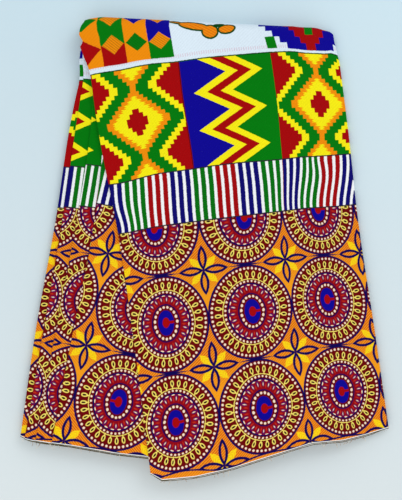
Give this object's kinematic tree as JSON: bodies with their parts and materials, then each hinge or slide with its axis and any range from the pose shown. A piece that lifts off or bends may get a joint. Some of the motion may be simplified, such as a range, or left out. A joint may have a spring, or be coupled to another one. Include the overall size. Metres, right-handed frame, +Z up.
{
  "type": "folded kente cloth",
  "caption": "Length of printed cotton folded back and forth into a flat stack of panels and turned over at its middle, with its finished edges together.",
  "frame": {"origin": "under the middle of the bundle's box, on the surface it lies on", "axes": "+Z up; +Y from the finished edges towards the turned-over end; +X to the right as seen from above"},
  "size_m": [0.4496, 0.602, 0.0268],
  "materials": {
    "printed_cotton": "plain-weave cotton printed in dark red, orange, yellow, green, blue and white, with a slight sheen"
  },
  "bodies": {
    "root": {"cloth": "printed_cotton"}
  },
  "joints": []
}
